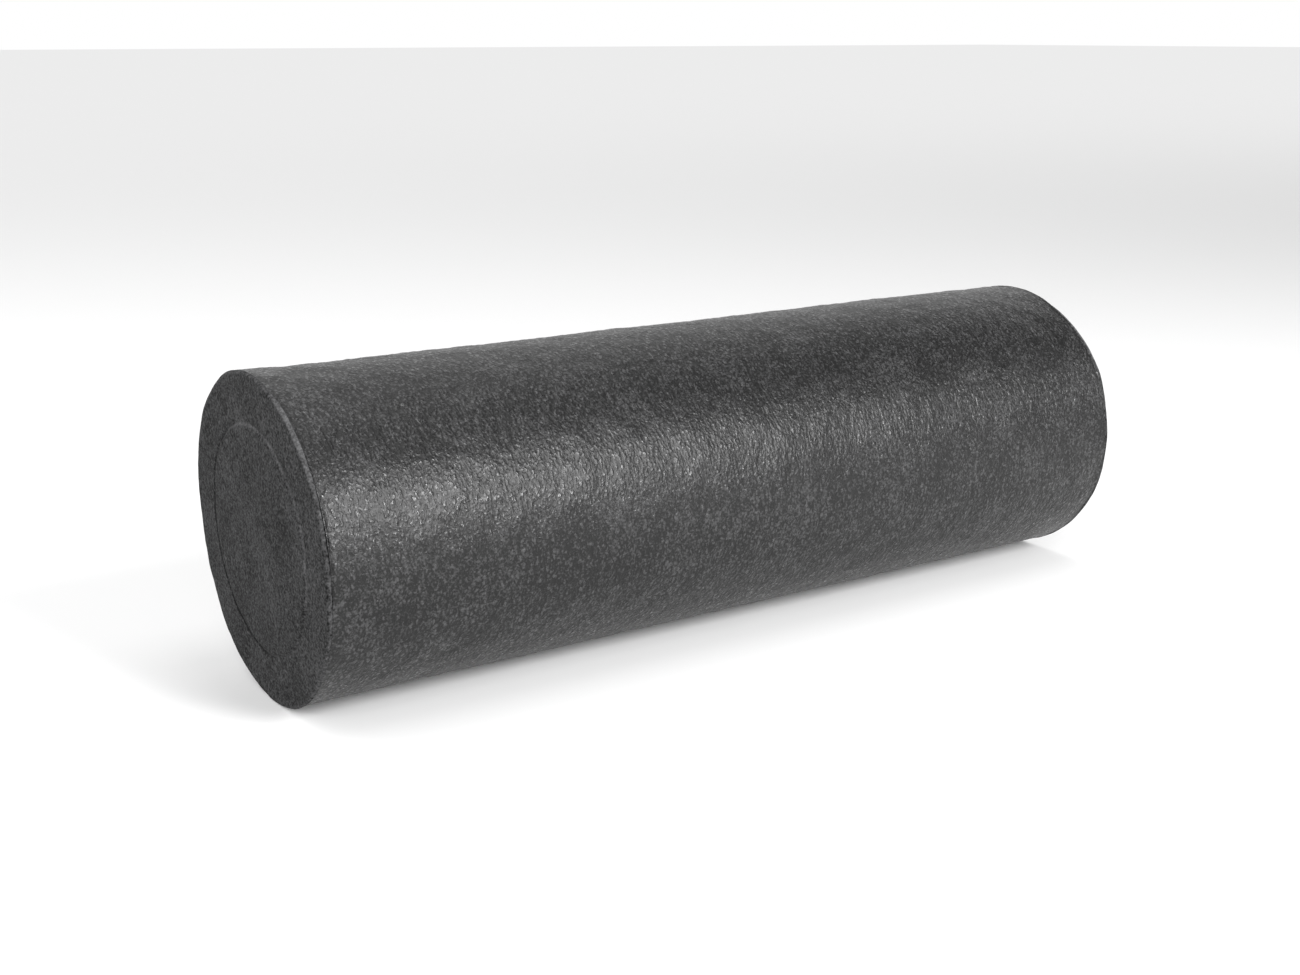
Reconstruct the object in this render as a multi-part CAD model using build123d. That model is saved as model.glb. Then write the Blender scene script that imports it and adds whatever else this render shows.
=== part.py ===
"""A foam roller, lying on its side along X.

A firm foam rod is the core, and a thick foam sleeve is bonded round it. A thin heat-sealed
skin wraps the barrel. A cap of the same skin closes each end: it is pressed down round the
core, whose end stands a little proud, and it turns over the rounded rim to a weld on the
barrel. Millimetres, +Z up. The origin is the middle of the line that the roller rests on.
"""

from build123d import *
import os

# Overall size
LENGTH = 450.0  # over both raised ends
DIAMETER = 145.0  # outside the skin

# Layers
CORE_DIAMETER = 100.0
SKIN = 1.0  # thickness of the heat-sealed skin, on the barrel and on the ends

# Shape of each end
CORE_PROUD = 0.8  # how far the core's end stands out past the ring of foam round it
STEP_WIDTH = 1.5  # width of the slope down from the raised core, half on each side of its edge
RIM_RADIUS = 1.2  # rounding of the rim, outside
SKIRT = 0.5  # straight part of a cap's edge, from the rounding to the weld

# Worked out from the sizes above
OUTER_RADIUS = DIAMETER / 2
CORE_RADIUS = CORE_DIAMETER / 2
RAISED_X = LENGTH / 2
RING_X = RAISED_X - CORE_PROUD
ROUNDING_X = RING_X - RIM_RADIUS
WELD_X = ROUNDING_X - SKIRT
STEP_TOP = CORE_RADIUS - STEP_WIDTH / 2
STEP_FOOT = CORE_RADIUS + STEP_WIDTH / 2
ARC_CENTRE_RADIUS = OUTER_RADIUS - RIM_RADIUS
QUARTER_TURN = 90.0


def round_the_axis(lines):
    """The solid that a closed outline, drawn as distance along X against radius, turns into."""
    profile = make_face(Wire(lines))
    return Pos(0, 0, OUTER_RADIUS) * revolve(profile, axis=Axis.X)


def rim_arc(depth):
    """The rounding of the +X rim, at a depth under the outside, from the ring to the barrel."""
    centre = (ROUNDING_X, ARC_CENTRE_RADIUS)
    return CenterArc(centre, RIM_RADIUS - depth, 0, QUARTER_TURN).edge()


def foam_ring(depth):
    """The flat ring round the raised core, at a depth under the outside."""
    return Line((RING_X - depth, STEP_FOOT), (RING_X - depth, ARC_CENTRE_RADIUS)).edge()


def end_outline(depth):
    """The +X end's outline at a depth under the outside, from the axis round to the weld."""
    raised = Line((RAISED_X - depth, 0), (RAISED_X - depth, STEP_TOP)).edge()
    slope = Line((RAISED_X - depth, STEP_TOP), (RING_X - depth, STEP_FOOT)).edge()
    radius = OUTER_RADIUS - depth
    skirt = Line((ROUNDING_X, radius), (WELD_X, radius)).edge()
    return [raised, slope, foam_ring(depth), rim_arc(depth), skirt]


def core_rod():
    """The firm rod, with its end's edge bevelled where the skin slopes down over it."""
    end_x = RAISED_X - SKIN
    edge_x = end_x - CORE_PROUD / 2
    points = [
        (-end_x, 0),
        (-end_x, STEP_TOP),
        (-edge_x, CORE_RADIUS),
        (edge_x, CORE_RADIUS),
        (end_x, STEP_TOP),
        (end_x, 0),
    ]
    return round_the_axis(Polyline(*points, close=True).edges())


def foam_sleeve():
    """The thick tube of foam between the core and the skin, with both rims rounded."""
    edge_x = RAISED_X - SKIN - CORE_PROUD / 2
    radius = OUTER_RADIUS - SKIN
    bevel = Line((edge_x, CORE_RADIUS), (RING_X - SKIN, STEP_FOOT)).edge()
    right_end = [bevel, foam_ring(SKIN), rim_arc(SKIN)]
    left_end = [edge.mirror(Plane.YZ) for edge in right_end]
    bore = Line((-edge_x, CORE_RADIUS), (edge_x, CORE_RADIUS)).edge()
    outside = Line((-ROUNDING_X, radius), (ROUNDING_X, radius)).edge()
    return round_the_axis([bore, outside, *right_end, *left_end])


def barrel_skin():
    """The film round the barrel, from one cap's weld to the other's."""
    inside = OUTER_RADIUS - SKIN
    points = [
        (-WELD_X, inside),
        (WELD_X, inside),
        (WELD_X, OUTER_RADIUS),
        (-WELD_X, OUTER_RADIUS),
    ]
    return round_the_axis(Polyline(*points, close=True).edges())


def end_skin():
    """The cap over the +X end: a raised disc, a slope, a flat ring, a rounded rim and a skirt."""
    on_axis = Line((RAISED_X - SKIN, 0), (RAISED_X, 0)).edge()
    at_weld = Line((WELD_X, OUTER_RADIUS - SKIN), (WELD_X, OUTER_RADIUS)).edge()
    return round_the_axis([on_axis, at_weld, *end_outline(0), *end_outline(SKIN)])


def main():
    right_cap = end_skin()
    pieces = {
        "core_rod": core_rod(),
        "foam_sleeve": foam_sleeve(),
        "barrel_skin": barrel_skin(),
        "end_skin_right": right_cap,
        "end_skin_left": mirror(right_cap, about=Plane.YZ),
    }
    os.makedirs("parts", exist_ok=True)
    for node, piece in pieces.items():
        export_step(piece, f"parts/{node}.step")


main()
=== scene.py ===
"""The looks of a foam roller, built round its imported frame. Metres, in the frame's axes.

The roller lies along X on the floor. A firm foam core sits in a thick foam sleeve, a pebbled
film wraps the barrel, and a matte cap of film is welded over each end. Each of the five is
one closed mesh, turned about the roller's axis and then given the same hand-made unevenness.
"""

import math

import bpy
import numpy as np
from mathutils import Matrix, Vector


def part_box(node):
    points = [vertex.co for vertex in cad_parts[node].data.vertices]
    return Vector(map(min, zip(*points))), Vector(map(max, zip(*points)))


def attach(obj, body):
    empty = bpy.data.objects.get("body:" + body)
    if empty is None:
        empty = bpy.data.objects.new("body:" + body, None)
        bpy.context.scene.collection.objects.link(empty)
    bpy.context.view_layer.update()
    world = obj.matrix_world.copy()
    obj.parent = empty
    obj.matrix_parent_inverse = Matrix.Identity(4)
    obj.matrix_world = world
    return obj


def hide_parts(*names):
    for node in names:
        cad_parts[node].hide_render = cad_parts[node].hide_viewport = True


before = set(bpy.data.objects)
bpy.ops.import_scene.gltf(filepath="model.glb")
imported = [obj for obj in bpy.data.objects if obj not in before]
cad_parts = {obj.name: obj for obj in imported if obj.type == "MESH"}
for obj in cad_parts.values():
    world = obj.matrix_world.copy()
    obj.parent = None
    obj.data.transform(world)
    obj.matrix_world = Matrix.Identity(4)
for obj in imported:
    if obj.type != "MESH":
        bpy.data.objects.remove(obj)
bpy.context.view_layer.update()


# --- sizes, from the frame ----------------------------------------------------------------

def half_width(node):
    low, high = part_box(node)
    return (high.y - low.y) / 2


def right_end(node):
    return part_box(node)[1].x


BARREL_LOW, BARREL_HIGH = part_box("barrel_skin")
AXIS_Z = (BARREL_LOW.z + BARREL_HIGH.z) / 2
RADIUS = half_width("barrel_skin")
SLEEVE_RADIUS = half_width("foam_sleeve")
CORE_RADIUS = half_width("core_rod")
WELD_X = right_end("barrel_skin")
END_X = right_end("end_skin_right")
CORE_X = right_end("core_rod")
SLEEVE_X = right_end("foam_sleeve")
SKIN = END_X - CORE_X
RING_X = END_X - (CORE_X - SLEEVE_X)

# --- sizes of what is smaller than the frame shows ----------------------------------------

STEP_WIDTH = 0.0018  # slope round the raised core
STEP_GROOVE = 0.0003  # depth of the groove that the hot plate leaves at the slope's foot
RIM_ROUNDING = 0.0012
ARC_STEPS = 8

SEGMENTS = 320  # points round the barrel
FACE = 2 * math.pi * RADIUS / SEGMENTS  # side of a face
SMALLEST_RING = 20  # points round the smallest ring
COARSE = 0.006  # spacing of rings where nothing shows
FINE = 0.00027  # spacing of rings by the welds
CREASE_REACH = 0.0025  # how far from the weld the rings stay that close

FLOOR_GIVE = 0.0003  # how softly the foam flattens on the floor


# --- unevenness ---------------------------------------------------------------------------

def ripple(points, size, seed, stretch=(1.0, 1.0, 1.0), waves=56):
    """A smooth random height at each point, about 1 high, with lumps about size across."""
    rng = np.random.default_rng(seed)
    way = rng.normal(size=(waves, 3))
    way /= np.linalg.norm(way, axis=1)[:, None]
    pitch = 2 * math.pi / size * rng.uniform(0.6, 1.4, waves)
    phase = rng.uniform(0, 2 * math.pi, waves)
    steps = (points / np.array(stretch)) @ (way * pitch[:, None]).T + phase
    return np.sin(steps).sum(1) * math.sqrt(2 / waves)


def lumps(points, height, size, seed, stretch):
    """A ripple with its height."""
    return height * ripple(points, size, seed, stretch)


def bell(angle, centre, width):
    """1 where angle is centre, falling to nothing round it. Degrees, and it wraps."""
    apart = (angle - centre + 180) % 360 - 180
    return np.exp(-((apart / width) ** 2))


def smooth(low, high, value):
    """0 below low, 1 above high, and a smooth rise between."""
    t = np.clip((value - low) / (high - low), 0, 1)
    return t * t * (3 - 2 * t)


# Where the rims stand out or in: (angle round from +Y towards +Z, width, out, reach along X).
LEFT_RIM = [
    (44, 12, 0.0016, 0.012),
    (72, 16, 0.0013, 0.014),
    (250, 14, 0.0006, 0.005),
    (312, 14, -0.0005, 0.02),
]
RIGHT_RIM = [
    (118, 12, -0.0007, 0.02),
    (152, 10, 0.0006, 0.012),
    (215, 6, -0.0004, 0.006),
]

# How far each end's cut leans: the shift along X for each metre up from the axis.
LEFT_LEAN = -0.0169
RIGHT_LEAN = -0.0256
LEAN_REACH = 0.09  # how far into the roller the lean dies out

# Where the barrel is thicker or thinner: (x, angle, length, width in degrees, out).
SWELLS = [(0.14, 108, 0.06, 30, 0.0007), (-0.14, 108, 0.06, 30, -0.0005)]

# Soft lumps: (height, size, seed, stretch) all over, and in and out on the ends.
LUMPS = (0.0001, 0.06, 3, (1.6, 1, 1))
END_LUMPS = (0.0002, 0.045, 5, (1, 1, 1))
END_ZONE = 0.9  # the share of the half length past which the ends' lumps begin


def rim_swell(x, angle):
    """How far a rim's lumps push the roller's surface out at x."""
    swell = np.zeros_like(x)
    for side, bulges in ((-1, LEFT_RIM), (1, RIGHT_RIM)):
        inward = np.abs(x - side * END_X)
        for centre, width, out, reach in bulges:
            swell += out * bell(angle, centre, width) * np.exp(-inward / reach)
    return swell


def uneven(points):
    """Moves points of a true roller to where hand-made foam has them."""
    x, y, z = points.T
    radius = np.hypot(y, z)
    angle = np.degrees(np.arctan2(z, y))
    out = rim_swell(x, angle) + lumps(points, *LUMPS)
    for centre, turn, length, width, rise in SWELLS:
        out += rise * np.exp(-(((x - centre) / length) ** 2)) * bell(angle, turn, width)
    out *= (radius / RADIUS) ** 3
    along = lumps(points, *END_LUMPS) * smooth(END_ZONE, 1, np.abs(x) / END_X)
    along += z * np.where(x < 0, LEFT_LEAN, RIGHT_LEAN) * np.exp((np.abs(x) - END_X) / LEAN_REACH)
    scale = 1 + out / np.maximum(radius, FACE)
    return np.stack([x + along, y * scale, z * scale], axis=1)


def on_floor(points):
    """Lifts points to the roller's height over the floor, and flattens the foam where it rests."""
    x, y, z = points.T
    z = z + AXIS_Z
    return np.stack([x, y, (z + np.sqrt(z * z + FLOOR_GIVE**2)) / 2], axis=1)


# --- turned meshes ------------------------------------------------------------------------

def ring_size(radius):
    """Points round a ring: halved as rings get smaller, so that faces stay nearly square."""
    count = SEGMENTS
    while count > SMALLEST_RING and 2 * math.pi * radius / count < FACE / 2:
        count //= 2
    return count


def ring_faces(a, b):
    """Faces between two rings of point numbers. One may have twice the points, or be a pole."""
    if len(a) < len(b):
        return [face[::-1] for face in ring_faces(b, a)]
    n, m = len(a), len(b)
    if m == 1:
        return [(a[i], a[(i + 1) % n], b[0]) for i in range(n)]
    if n == m:
        return [(a[i], a[(i + 1) % n], b[(i + 1) % n], b[i]) for i in range(n)]
    faces = []
    for i in range(m):
        p, q, r = a[2 * i], a[2 * i + 1], a[(2 * i + 2) % n]
        s, t = b[i], b[(i + 1) % m]
        faces += [(p, q, s), (s, q, t), (q, r, t)]
    return faces


class Turned:
    """A closed mesh turned about X from a profile of (x, radius, outside) rings."""

    def __init__(self, profile, closed):
        self.rings, points, outward = [], [], []
        xr = np.array([p[:2] for p in profile])
        ahead, behind = np.roll(xr, -1, axis=0), np.roll(xr, 1, axis=0)
        if not closed:
            ahead[-1], behind[0] = xr[-1], xr[0]
        along = ahead - behind
        self.outside = []
        for (x, radius, outside), (dx, dr) in zip(profile, along):
            count = ring_size(radius) if radius > 0 else 1
            turn = np.arange(count) * 2 * math.pi / count
            c, s = np.cos(turn), np.sin(turn)
            self.rings.append(list(range(len(points), len(points) + count)))
            points.extend(np.stack([np.full(count, x), radius * c, radius * s], 1))
            length = math.hypot(dx, dr) or 1.0
            nx, nr = dr / length, -dx / length
            outward.extend(np.stack([np.full(count, nx), nr * c, nr * s], 1))
            self.outside += [outside] * count
        self.points = np.array(points)
        self.outward = np.array(outward)
        self.outside = np.array(self.outside, float)
        pairs = list(zip(self.rings, self.rings[1:]))
        if closed:
            pairs.append((self.rings[-1], self.rings[0]))
        self.faces = [face for a, b in pairs for face in ring_faces(a, b)]

    def raised(self, height):
        """The points with the outside raised by height."""
        return self.points + self.outward * (height * self.outside)[:, None]


def add_piece(name, points, faces, node, finish):
    """A smooth closed mesh that stands for a CAD node."""
    mesh = bpy.data.meshes.new(name)
    mesh.from_pydata([tuple(p) for p in on_floor(uneven(points))], [], faces)
    mesh.validate()
    piece = bpy.data.objects.new(name, mesh)
    bpy.context.scene.collection.objects.link(piece)
    bpy.context.view_layer.objects.active = piece
    piece.select_set(True)
    bpy.ops.object.mode_set(mode="EDIT")
    bpy.ops.mesh.select_all(action="SELECT")
    bpy.ops.mesh.normals_make_consistent(inside=False)
    bpy.ops.object.mode_set(mode="OBJECT")
    piece.select_set(False)
    mesh.shade_smooth()
    mesh.materials.append(finish)
    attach(piece, "root")
    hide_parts(node)
    return piece


# --- profiles -----------------------------------------------------------------------------

def spaced(start, end, step):
    """Evenly spaced values from start to end, both included, about step apart."""
    return np.linspace(start, end, max(2, round(abs(end - start) / step) + 1))


def end_height(radius):
    """How far the right end's face is in from END_X: the raised core, its slope and groove."""
    low = smooth(CORE_RADIUS - STEP_WIDTH / 2, CORE_RADIUS + STEP_WIDTH / 2, radius)
    foot = np.exp(-(((radius - CORE_RADIUS - STEP_WIDTH * 0.6) / (STEP_WIDTH * 0.5)) ** 2))
    return (END_X - RING_X) * low + STEP_GROOVE * foot


def end_rings(step):
    """Radii across an end, close together at the core's edge."""
    near, far = CORE_RADIUS - 1.5 * STEP_WIDTH, CORE_RADIUS + 2.5 * STEP_WIDTH
    flat = RADIUS - RIM_ROUNDING
    inner, slope, outer = spaced(0, near, step), spaced(near, far, FACE / 4), spaced(far, flat, step)
    return [*inner[:-1], *slope[:-1], *outer]


def rim_arc(depth, steps):
    """The rim's rounding at a depth under the outside, from the end's face to the barrel."""
    for turn in np.linspace(0, math.pi / 2, steps + 1):
        x = RING_X - RIM_ROUNDING + (RIM_ROUNDING - depth) * math.cos(turn)
        yield x, RADIUS - RIM_ROUNDING + (RIM_ROUNDING - depth) * math.sin(turn)


def cap_profile():
    """The right cap: out from the axis, over the rim to the weld, and back underneath."""
    over = [(END_X - end_height(r), r, 1) for r in end_rings(FACE)[:-1]]
    over += [(x, r, 1) for x, r in rim_arc(0, ARC_STEPS)]
    over += [(x, RADIUS, 1) for x in spaced(RING_X - RIM_ROUNDING, WELD_X, FINE)[1:]]
    under = [(END_X - SKIN - end_height(r), r, 0) for r in end_rings(COARSE)[:-1]]
    under += [(x, r, 0) for x, r in rim_arc(SKIN, ARC_STEPS // 2)]
    under += [(WELD_X, RADIUS - SKIN, 0)]
    return over + under[::-1]


def barrel_profile():
    """The film round the barrel, outside and then back underneath."""
    inner = WELD_X - CREASE_REACH
    by_weld, middle = spaced(WELD_X, inner, FINE), spaced(inner, -inner, FACE)
    over = [(x, RADIUS, 1) for x in [*by_weld[:-1], *middle, *(-by_weld[-2::-1])]]
    under = [(x, RADIUS - SKIN, 0) for x in spaced(-WELD_X, WELD_X, COARSE)]
    return over + under


def mirrored(profile):
    """The same profile on the left end, still drawn the same way round."""
    return [(-x, radius, outside) for x, radius, outside in profile[::-1]]


HAIR = 0.00005  # gap that keeps bonded layers from lying in the same place


def core_profile():
    edge = CORE_RADIUS - HAIR
    right = [(CORE_X - HAIR - end_height(r), r, 1) for r in spaced(0, edge, FACE * 2)]
    barrel = [(x, edge, 1) for x in spaced(right[-1][0], -right[-1][0], COARSE)[1:-1]]
    return right + barrel + mirrored(right)


def sleeve_profile():
    edge = CORE_RADIUS + HAIR
    rings = [r for r in end_rings(FACE * 2)[:-1] if r > edge]
    right = [(CORE_X - HAIR - end_height(r), r, 1) for r in [edge, *rings]]
    right += [(x - HAIR, r - HAIR, 1) for x, r in rim_arc(SKIN, ARC_STEPS)]
    barrel = [(x, right[-1][1], 1) for x in spaced(right[-1][0], -right[-1][0], COARSE)[1:-1]]
    bore = [(x, edge, 0) for x in spaced(-right[0][0], right[0][0], COARSE)[1:-1]]
    return right + barrel + mirrored(right) + bore


# --- finishes -----------------------------------------------------------------------------

MILLIMETRE = 0.001  # so that the weights in a bump's height are millimetres


class Finish:
    """A material, with short calls for the nodes that the finishes here use."""

    def __init__(self, name, roughness, specular):
        self.material = bpy.data.materials.new(name)
        self.material.use_nodes = True
        self.tree = self.material.node_tree
        self.shader = self.tree.nodes["Principled BSDF"]
        self.shader.inputs["Roughness"].default_value = roughness
        self.shader.inputs["Specular IOR Level"].default_value = specular
        self.place = self.add("ShaderNodeTexCoord").outputs["Object"]

    def add(self, kind, **inputs):
        """A node, with inputs given by name: a number, a colour or another node's output."""
        node = self.tree.nodes.new(kind)
        for name, value in inputs.items():
            self.feed(node.inputs[name.replace("_", " ")], value)
        return node

    def feed(self, socket, value):
        if isinstance(value, bpy.types.NodeSocket):
            self.tree.links.new(value, socket)
        else:
            socket.default_value = value

    def stretched(self, stretch):
        """The piece's own coordinates, squeezed so that patterns come out stretched."""
        squeeze = tuple(1 / s for s in stretch)
        return self.add("ShaderNodeMapping", Vector=self.place, Scale=squeeze).outputs[0]

    def vector(self, way, first, second=(0, 0, 0)):
        """The node that does one sum on two vectors."""
        node = self.tree.nodes.new("ShaderNodeVectorMath")
        node.operation = way
        self.feed(node.inputs[0], first)
        self.feed(node.inputs[1], second)
        return node.outputs

    def across(self):
        """The way from the roller's axis."""
        centred = self.vector("SUBTRACT", self.place, (0, 0, AXIS_Z))
        return self.vector("MULTIPLY", centred[0], (0, 1, 1))[0]

    def from_axis(self):
        return self.vector("LENGTH", self.across())["Value"]

    def ring(self, radius, width):
        """1 on a thin ring about the axis, falling to 0 at width from it."""
        apart = self.tree.nodes.new("ShaderNodeMath")
        apart.operation = "SUBTRACT"
        self.feed(apart.inputs[0], self.from_axis())
        self.feed(apart.inputs[1], radius)
        size = self.tree.nodes.new("ShaderNodeMath")
        size.operation = "ABSOLUTE"
        self.feed(size.inputs[0], apart.outputs[0])
        return self.ranged(size.outputs[0], 0.0, width, 1.0, 0.0, "SMOOTHSTEP")

    def bearing(self, angle, spread, most):
        """The value most at an angle round from +Y towards +Z, falling to 0 at spread from it."""
        a = math.radians(angle)
        unit = self.vector("NORMALIZE", self.across())[0]
        along = self.vector("DOT_PRODUCT", unit, (0, math.cos(a), math.sin(a)))["Value"]
        return self.ranged(along, math.cos(math.radians(spread)), 1.0, 0.0, most, "SMOOTHSTEP")

    def noise(self, size, detail, stretch=(1.0, 1.0, 1.0)):
        """A random pattern with lumps about size across."""
        where = self.stretched(stretch)
        return self.add("ShaderNodeTexNoise", Vector=where, Scale=1 / size, Detail=detail).outputs[0]

    def cells(self, size):
        """The distance from the middle of the nearest of many cells about size across."""
        where = self.stretched((1.0, 1.0, 1.0))
        return self.add("ShaderNodeTexVoronoi", Vector=where, Scale=1 / size).outputs["Distance"]

    def edges(self, size, stretch):
        """Rounded cells about size across, as heights: 0 in the grooves between them."""
        wobble = self.add("ShaderNodeTexNoise", Vector=self.place, Scale=1.3 / size, Detail=2.0)
        shift = self.add("ShaderNodeVectorMath", Vector=wobble.outputs["Color"])
        shift.operation = "SCALE"
        shift.inputs["Scale"].default_value = size * 1.1
        where = self.add("ShaderNodeVectorMath")
        self.feed(where.inputs[0], self.stretched(stretch))
        self.feed(where.inputs[1], shift.outputs[0])
        node = self.add("ShaderNodeTexVoronoi", Vector=where.outputs[0], Scale=1 / size)
        node.feature = "DISTANCE_TO_EDGE"
        return self.ranged(node.outputs["Distance"], 0.0, 0.45, 0.0, 1.0, "SMOOTHSTEP")

    def ranged(self, value, low, high, to_low, to_high, way="LINEAR"):
        node = self.add("ShaderNodeMapRange", Value=value)
        node.interpolation_type = way
        ends = {"From Min": low, "From Max": high, "To Min": to_low, "To Max": to_high}
        for name, number in ends.items():
            node.inputs[name].default_value = number
        return node.outputs[0]

    def sum(self, *parts):
        """The weighted sum of (output, weight) pairs."""
        total = None
        for part, weight in parts:
            node = self.tree.nodes.new("ShaderNodeMath")
            node.operation = "MULTIPLY_ADD"
            self.feed(node.inputs[0], part)
            self.feed(node.inputs[1], weight)
            self.feed(node.inputs[2], total if total is not None else 0.0)
            total = node.outputs[0]
        return total

    def greys(self, value, stops):
        """A neutral colour from a value, by (place, brightness) stops."""
        node = self.add("ShaderNodeValToRGB", Fac=value)
        ramp = node.color_ramp.elements
        while len(ramp) < len(stops):
            ramp.new(0.5)
        for element, (place, grey) in zip(ramp, stops):
            element.position = place
            element.color = (grey, grey, grey * 1.02, 1)
        return node.outputs["Color"]

    def bump(self, height, distance):
        """Raises the surface by height times distance, in shading only."""
        node = self.add("ShaderNodeBump", Height=height, Distance=distance)
        self.feed(self.shader.inputs["Normal"], node.outputs["Normal"])

    def set(self, name, output):
        self.feed(self.shader.inputs[name], output)


def barrel_finish():
    """Melted polyethylene film: dark, slightly shiny, pebbled, and wrinkled round the barrel."""
    film = Finish("barrel_film", roughness=0.22, specular=0.42)
    pebbles = film.edges(0.0023, stretch=(0.9, 1.15, 1.15))
    wrinkles = film.noise(0.0023, detail=1.0, stretch=(0.7, 1.4, 1.4))
    grain = film.noise(0.0009, detail=1.0)
    height = film.sum((pebbles, 0.12), (wrinkles, 0.39), (grain, 0.02))
    patches = film.noise(0.022, detail=3.0)
    # The colour is darker where the pebbles' grooves and the wrinkles' hollows lie, as painted
    # shade, on top of random patches and grain.
    speckle = film.sum((patches, 0.2), (wrinkles, 0.35), (grain, 0.5), (pebbles, 0.15))
    film.set("Base Color", film.greys(speckle, [(0.53, 0.001), (0.75, 0.048)]))
    gloss = film.sum((pebbles, 0.6), (wrinkles, 1.2))
    film.set("Roughness", film.ranged(gloss, 0.75, 1.35, 0.44, 0.18))
    film.bump(height, MILLIMETRE)
    return film.material


def end_finish():
    """The same film pressed flat by a hot plate: matte, with a much finer grain, and with light and
    shade painted into its colour round the rim and the core's step.
    """
    film = Finish("end_film", roughness=0.75, specular=0.1)
    # Masks for painted light and shade: the rim, the foot of the core's step, and its crest.
    rim = film.ranged(film.from_axis(), RADIUS - 0.0010, RADIUS - 0.0003, 0.0, 1.0)
    groove = film.ring(CORE_RADIUS + 0.0009, 0.0019)
    painted_light_ring = film.ring(CORE_RADIUS + 0.0006, 0.0012)
    grain = film.noise(0.0009, detail=1.5)
    flecks = film.noise(0.0019, detail=1.0)
    patches = film.noise(0.02, detail=3.0)
    speckle = film.sum((patches, 0.2), (grain, 0.5), (flecks, 0.3))
    # Painted light and shade on top of the grain. The rim is lighter all round, and more so towards
    # 128 degrees as a painted highlight. The step's crest is lighter towards +Z and towards -Y as
    # painted light. The step's foot is darker on the +Y side, from below round to near the top, as
    # painted shade.
    grain_and_painted_light = film.sum(
        (speckle, 1.0),
        (rim, 0.05),
        (rim, film.bearing(128, 26, 0.12)),
        (groove, film.bearing(340, 95, -0.17)),
        (painted_light_ring, film.bearing(90, 50, 0.12)),
        (painted_light_ring, film.bearing(165, 60, 0.11)),
    )
    film.set("Base Color", film.greys(grain_and_painted_light, [(0.4, 0.003), (0.6, 0.05), (0.9, 0.14)]))
    film.set("Roughness", film.ranged(patches, 0.3, 0.7, 0.7, 0.8))
    film.bump(film.sum((grain, 0.12), (flecks, 0.15)), MILLIMETRE)
    return film.material


def foam_finish(name, grey, cell):
    """Bare closed-cell foam: dull, with the tiny domes of its cells."""
    foam = Finish(name, roughness=0.9, specular=0.25)
    domes = foam.cells(cell)
    clumps = foam.noise(0.012, detail=3.0)
    speckle = foam.sum((clumps, 0.4), (domes, 0.5))
    foam.set("Base Color", foam.greys(speckle, [(0.1, grey * 1.25), (0.8, grey * 0.7)]))
    foam.set("Roughness", foam.ranged(clumps, 0.3, 0.7, 0.82, 0.96))
    foam.bump(domes, -cell / 3)
    return foam.material


# --- the roller's pieces ------------------------------------------------------------------

LIP_IN, LIP_WIDTH = 0.0020, 0.0005  # how far in from the end, and how wide
CREASE_IN, CREASE_WIDTH = 0.0030, 0.0006
BARREL_EDGE = (RADIUS - 0.0008, RADIUS - 0.0001)  # radii between which the weld's relief begins


def rim_relief(points):
    """The weld beside a rim: a thin lip, and a crease on the barrel's side of it."""
    x, y, z = points.T
    angle = np.degrees(np.arctan2(z, y))
    inward = END_X - np.abs(x)
    on_barrel = smooth(*BARREL_EDGE, np.hypot(y, z))
    lip = np.exp(-(((inward - LIP_IN) / LIP_WIDTH) ** 2))
    crease = np.exp(-(((inward - CREASE_IN) / CREASE_WIDTH) ** 2))
    rise = 0.00005 + 0.0005 * bell(angle, 126, 22) + 0.0003 * bell(angle, 245, 25)
    fall = 0.00005 + 0.0003 * bell(angle, 126, 25)
    fall += 0.0007 * bell(angle, 166, 22) * (x < 0)
    return (lip * rise - crease * fall) * on_barrel


def film_relief(points):
    """Lumps in the barrel's film, from soft dents down to wrinkles that run round it."""
    soft = lumps(points, 0.00009, 0.017, seed=11, stretch=(1, 1, 1))
    knobs = lumps(points, 0.00006, 0.0075, seed=12, stretch=(0.8, 1.3, 1.3))
    wrinkles = lumps(points, 0.00004, 0.0048, seed=13, stretch=(0.75, 1.8, 1.8))
    return soft + knobs + wrinkles


FOLD_ANGLE = math.radians(47)  # where a fold runs out across the core's end, round from +Y
FOLD_WIDTH, FOLD_RISE = 0.0009, 0.00025
FOLD_START = (0.033, 0.037)  # radii between which it begins


def end_relief(points):
    """A pressed end's shallow dents, and a faint fold that runs out across the core."""
    dents = lumps(points, 0.00006, 0.016, seed=21, stretch=(1, 1, 1))
    dents += lumps(points, 0.00003, 0.006, seed=22, stretch=(1, 1, 1))
    x, y, z = points.T
    radius, turn = np.hypot(y, z), np.arctan2(z, y) - FOLD_ANGLE
    fold = np.exp(-((radius * np.sin(turn) / FOLD_WIDTH) ** 2)) * smooth(*FOLD_START, radius)
    return dents + FOLD_RISE * fold * (radius < CORE_RADIUS) * (np.cos(turn) > 0)


def make_cap(side, finish):
    """One end's cap. The left one is the right one's mirror, with its own dents."""
    profile = cap_profile()
    cap = Turned(mirrored(profile) if side == "left" else profile, closed=False)
    points = cap.raised(end_relief(cap.points) + rim_relief(cap.points))
    return add_piece(f"{side}_end_film", points, cap.faces, f"end_skin_{side}", finish)


def make_barrel(finish):
    barrel = Turned(barrel_profile(), closed=True)
    points = barrel.raised(film_relief(barrel.points) + rim_relief(barrel.points))
    return add_piece("barrel_film", points, barrel.faces, "barrel_skin", finish)


def make_foam(name, profile, closed, node, finish):
    foam = Turned(profile, closed)
    piece = add_piece(name, foam.points, foam.faces, node, finish)
    return piece


# --- the studio ---------------------------------------------------------------------------

def add_camera():
    """Stands at the roller's left front, a little above it, looking along it."""
    lens = bpy.data.cameras.new("camera")
    lens.lens = 46.82
    camera = bpy.data.objects.new("camera", lens)
    camera.location = (-0.4726, -0.6657, AXIS_Z + 0.2095)
    camera.rotation_euler = (math.radians(90 - 15.06), 0, math.radians(-34.04))
    bpy.context.scene.collection.objects.link(camera)
    bpy.context.scene.camera = camera


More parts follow.
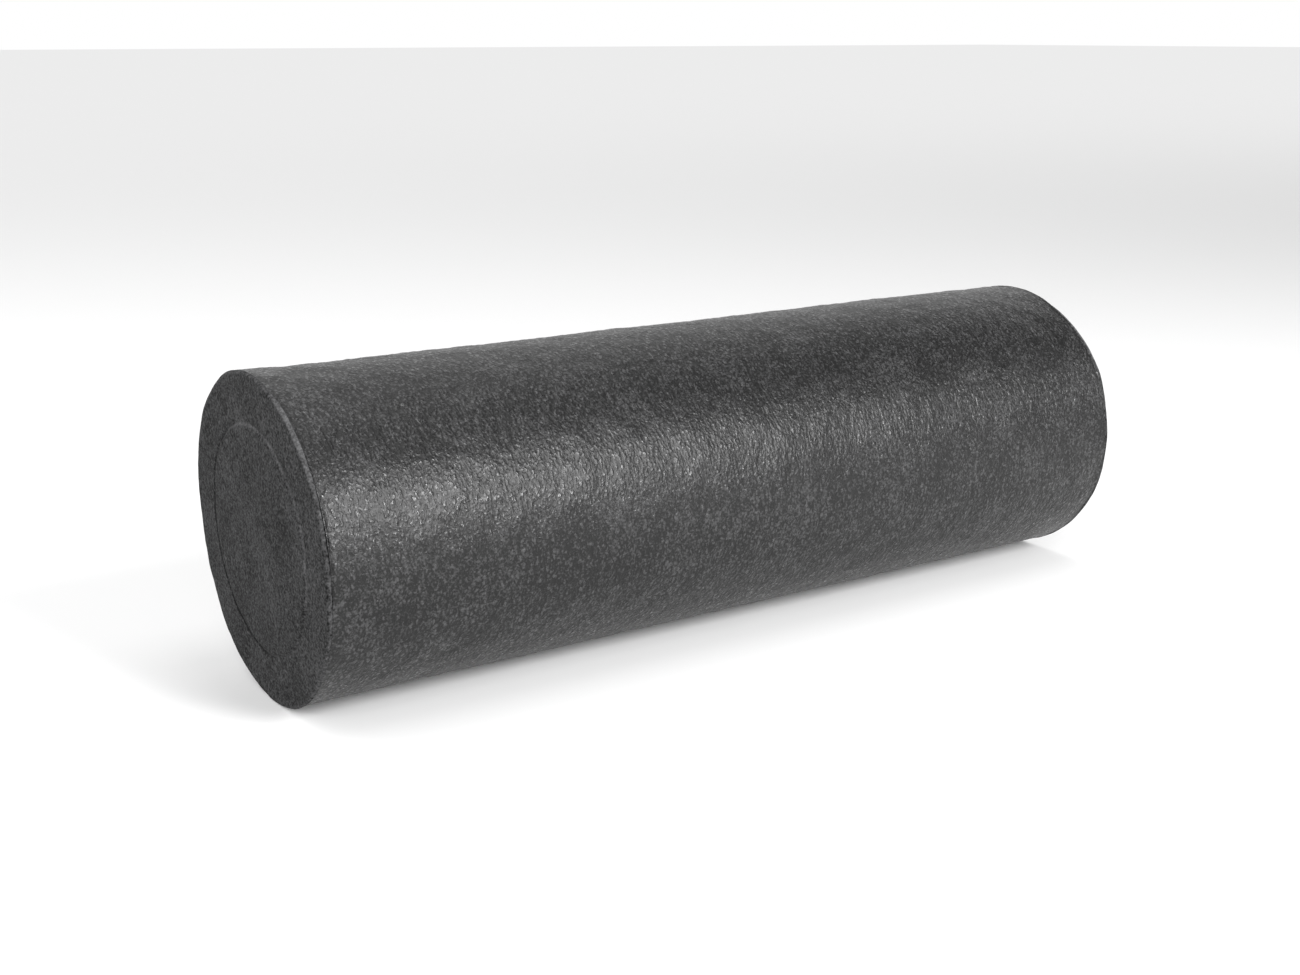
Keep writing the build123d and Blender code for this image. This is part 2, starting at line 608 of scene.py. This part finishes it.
def plain_material(name, grey, roughness, glow=0.0):
    """The floor's or a screen's own plain material."""
    material = bpy.data.materials.new(name)
    material.use_nodes = True
    shader = material.node_tree.nodes["Principled BSDF"]
    shader.inputs["Base Color"].default_value = (grey, grey, grey, 1)
    shader.inputs["Roughness"].default_value = roughness
    shader.inputs["Specular IOR Level"].default_value = 0.0
    shader.inputs["Emission Color"].default_value = (1, 1, 1, 1)
    shader.inputs["Emission Strength"].default_value = glow
    return material


def add_sheet(name, corners, material):
    """A flat four-cornered sheet of the studio."""
    mesh = bpy.data.meshes.new(name)
    mesh.from_pydata(corners, [], [(0, 1, 2, 3)])
    mesh.materials.append(material)
    sheet = bpy.data.objects.new(name, mesh)
    bpy.context.scene.collection.objects.link(sheet)
    return sheet


def add_floor():
    reach = 30
    corners = [(-reach, -reach, 0), (reach, -reach, 0), (reach, reach, 0), (-reach, reach, 0)]
    add_sheet("floor", corners, plain_material("floor", 0.8, 0.9, glow=0.04))


def toward(angle, distance, x):
    """The point at an angle up from -Y and a distance from the roller's axis."""
    a = math.radians(angle)
    return (x, -distance * math.cos(a), AXIS_Z + distance * math.sin(a))


SOFTBOX_DISTANCE = 1.6


def add_flags():
    """Black screens in front and overhead, out of every camera's sight, that hold back light."""
    black = plain_material("black_cloth", 0.01, 1.0)
    distance, left, right = 2.2, -0.6, 3.0
    turns = [-1.5, 28, 56, 84, 111]
    for number, (low, high) in enumerate(zip(turns, turns[1:])):
        corners = [
            toward(low, distance, left),
            toward(low, distance, right),
            toward(high, distance, right),
            toward(high, distance, left),
        ]
        flag = add_sheet(f"flag_{number}", corners, black)
        flag.visible_camera = False


def add_softbox(name, angle, x, size, radiance):
    """A soft rectangular light that faces the roller from an angle up from -Y."""
    lamp = bpy.data.lights.new(name, "AREA")
    lamp.shape = "RECTANGLE"
    lamp.size, lamp.size_y = size
    lamp.energy = radiance * size[0] * size[1] * math.pi
    light = bpy.data.objects.new(name, lamp)
    light.location = toward(angle, SOFTBOX_DISTANCE, x)
    light.rotation_euler = (math.radians(90 - angle), 0, 0)
    light.visible_camera = False
    bpy.context.scene.collection.objects.link(light)


def add_world(brightness):
    world = bpy.data.worlds.new("world")
    world.use_nodes = True
    background = world.node_tree.nodes["Background"]
    background.inputs["Color"].default_value = (1, 1, 1, 1)
    background.inputs["Strength"].default_value = brightness
    bpy.context.scene.world = world


def add_studio():
    add_camera()
    add_floor()
    add_world(1.0)
    add_flags()
    add_softbox("key", angle=26.5, x=0.36, size=(0.5, 0.82), radiance=26)
    add_softbox("key_wing", angle=26.5, x=0.84, size=(0.4, 0.82), radiance=3)
    add_softbox("overhead", angle=85, x=0.2, size=(0.7, 1.1), radiance=3.2)
    add_softbox("wash", angle=40, x=-1.5, size=(0.9, 0.9), radiance=9)
    add_softbox("back", angle=125, x=-1.0, size=(1.6, 0.55), radiance=1.6)
    bpy.context.scene.view_settings.view_transform = "Standard"


def make_roller():
    film, end = barrel_finish(), end_finish()
    make_barrel(film)
    make_cap("left", end)
    make_cap("right", end)
    core = foam_finish("core_foam", 0.03, 0.0009)
    sleeve = foam_finish("sleeve_foam", 0.045, 0.0014)
    make_foam("core_foam", core_profile(), False, "core_rod", core)
    make_foam("sleeve_foam", sleeve_profile(), True, "foam_sleeve", sleeve)


add_studio()
make_roller()
